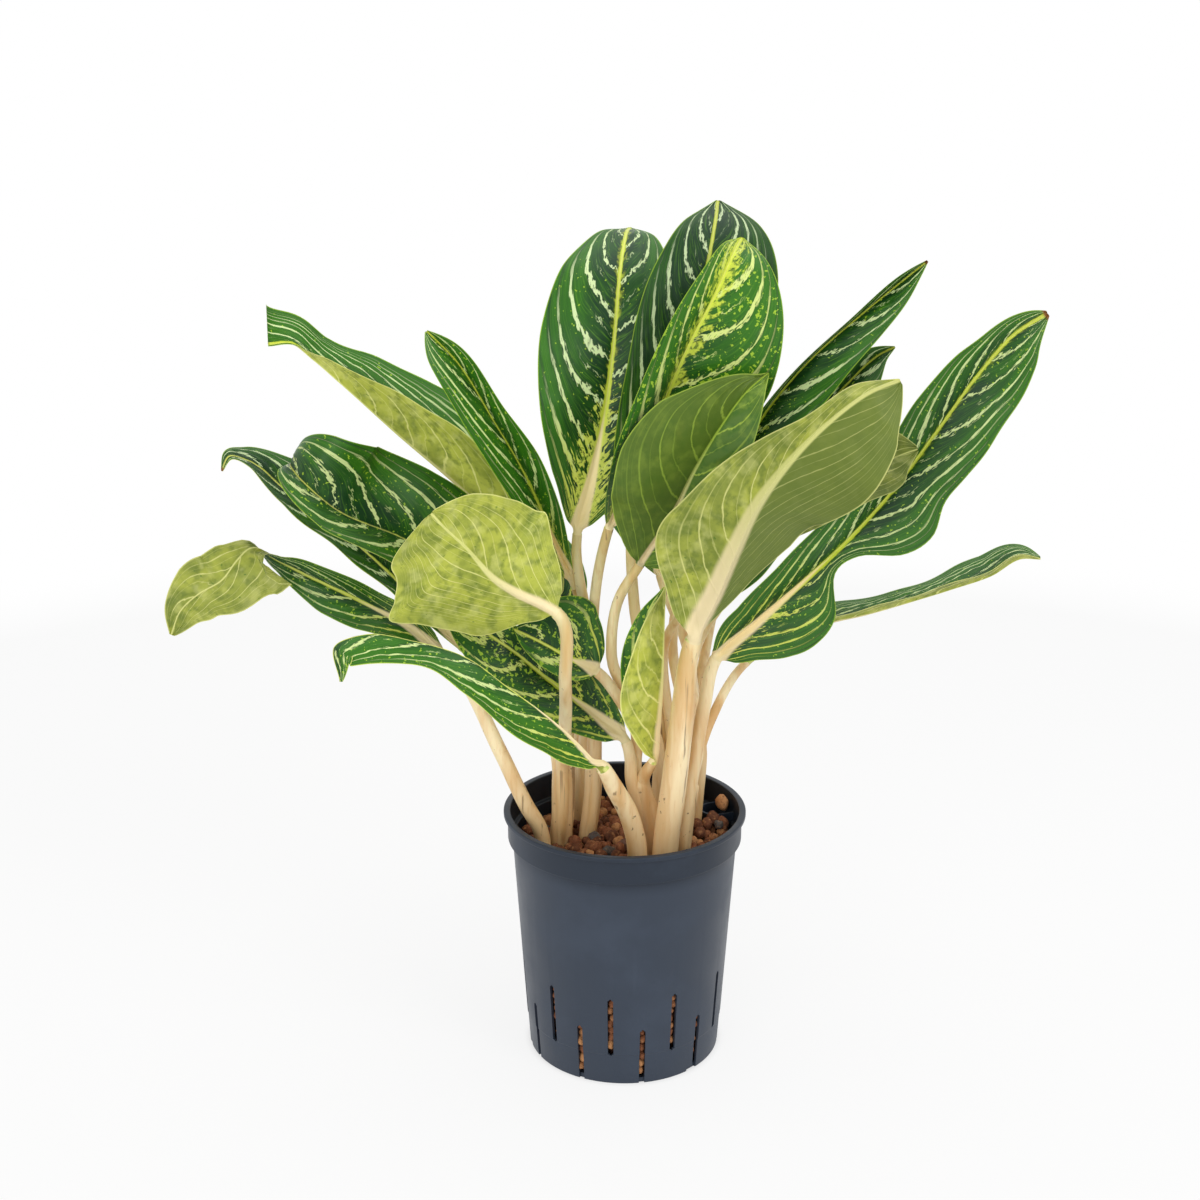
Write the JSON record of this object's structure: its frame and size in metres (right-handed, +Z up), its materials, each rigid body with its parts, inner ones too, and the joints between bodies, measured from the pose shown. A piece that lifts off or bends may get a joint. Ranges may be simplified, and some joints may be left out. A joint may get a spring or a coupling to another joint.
{
  "type": "potted chinese evergreen",
  "caption": "Bushy variegated Chinese evergreen with upright and arching leaves on pale shoots, in a slotted round hydroculture pot filled with clay granules.",
  "frame": {"origin": "centre of the pot's base, on the ground", "axes": "+Z up along the pot's axis, the plant's front looks along -Y and +X is on its right"},
  "size_m": [0.6371, 0.3503, 0.6271],
  "materials": {
    "pot_plastic": "moulded, slightly satin",
    "clay_granules": "rough burnt clay",
    "shoot_sheath": "smooth fleshy stem with dry sheath edges",
    "leaf_blade": "waxy, satin leaf with silver-green stripes"
  },
  "bodies": {
    "root": {"granule_bed": "clay_granules", "leaf_back_left": "leaf_blade", "leaf_back_middle": "leaf_blade", "leaf_back_right": "leaf_blade", "leaf_behind_right": "leaf_blade", "leaf_centre_furled": "leaf_blade", "leaf_centre_low": "leaf_blade", "leaf_dark_centre": "leaf_blade", "leaf_dark_left": "leaf_blade", "leaf_front_left": "leaf_blade", "leaf_front_right": "leaf_blade", "leaf_hooked_left": "leaf_blade", "leaf_long_left": "leaf_blade", "leaf_low_dark": "leaf_blade", "leaf_low_front": "leaf_blade", "leaf_narrow_right": "leaf_blade", "leaf_shaded_centre": "leaf_blade", "leaf_slim_left": "leaf_blade", "leaf_slim_right": "leaf_blade", "leaf_small_back": "leaf_blade", "leaf_tallest": "leaf_blade", "leaf_twisted_left": "leaf_blade", "leaf_upright_left": "leaf_blade", "leaf_upright_right": "leaf_blade", "leaf_wavy_right": "leaf_blade", "pot": "pot_plastic", "shoot_back": "shoot_sheath", "shoot_back_left": "shoot_sheath", "shoot_back_right": "shoot_sheath", "shoot_centre": "shoot_sheath", "shoot_front": "shoot_sheath", "shoot_front_left": "shoot_sheath", "shoot_front_right": "shoot_sheath", "shoot_left": "shoot_sheath", "shoot_mid_left": "shoot_sheath", "shoot_rear": "shoot_sheath", "shoot_right": "shoot_sheath"}
  },
  "joints": []
}
